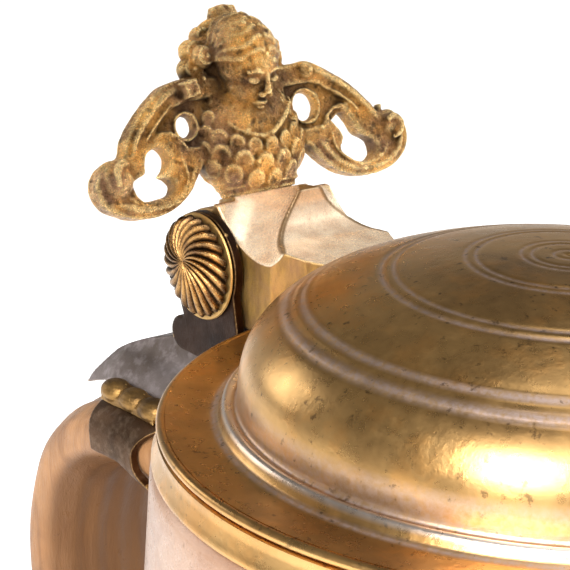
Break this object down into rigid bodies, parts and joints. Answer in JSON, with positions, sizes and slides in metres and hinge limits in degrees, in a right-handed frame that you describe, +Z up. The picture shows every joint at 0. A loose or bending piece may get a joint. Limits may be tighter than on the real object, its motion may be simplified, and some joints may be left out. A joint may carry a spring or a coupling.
{
  "type": "lidded stoneware jug",
  "caption": "Pear-shaped stoneware jug with a strap handle and a hinged domed brass lid carrying a figural openwork thumbpiece.",
  "frame": {"origin": "centre of the flat base, on the axis of the jug, where it stands", "axes": "+Z up along the jug's axis; the handle and the hinge lie towards -X; the hinge pin runs along Y"},
  "size_m": [0.1581, 0.1238, 0.2244],
  "materials": {
    "stoneware_body": "thin clear salt glaze over pale pinkish stoneware with light brown mottling",
    "stoneware_handle": "thin clear salt glaze, tan to orange brown, lengthwise grooves",
    "lid_brass": "polished, warm brown patina in the turned lines",
    "gilt_bronze": "worn gilding on cast bronze, dark recesses",
    "worn_brass": "dull grey brown patina",
    "dark_brass": "darkened brass with rubbed edges"
  },
  "bodies": {
    "jug": {"jug_body": "stoneware_body", "jug_handle": "stoneware_handle", "hinge_fork": "worn_brass", "hinge_pin": "dark_brass", "cap_collar": "dark_brass", "hinge_cap": "gilt_bronze", "scalloped_rail_left": "dark_brass", "scalloped_rail_right": "dark_brass", "handle_strap": "worn_brass", "handle_band": "worn_brass"},
    "lid": {"lid_dome": "lid_brass", "lid_bead": "lid_brass", "lid_skirt": "lid_brass", "lid_bezel": "lid_brass", "hinge_block": "gilt_bronze", "thumbpiece": "gilt_bronze"}
  },
  "joints": [
    {"name": "lid_hinge", "type": "hinge", "parent": "jug", "child": "lid", "pos_m": [-0.0537, 0, 0.1938], "axis": [0, -1, 0], "range_deg": [0, 100]}
  ]
}
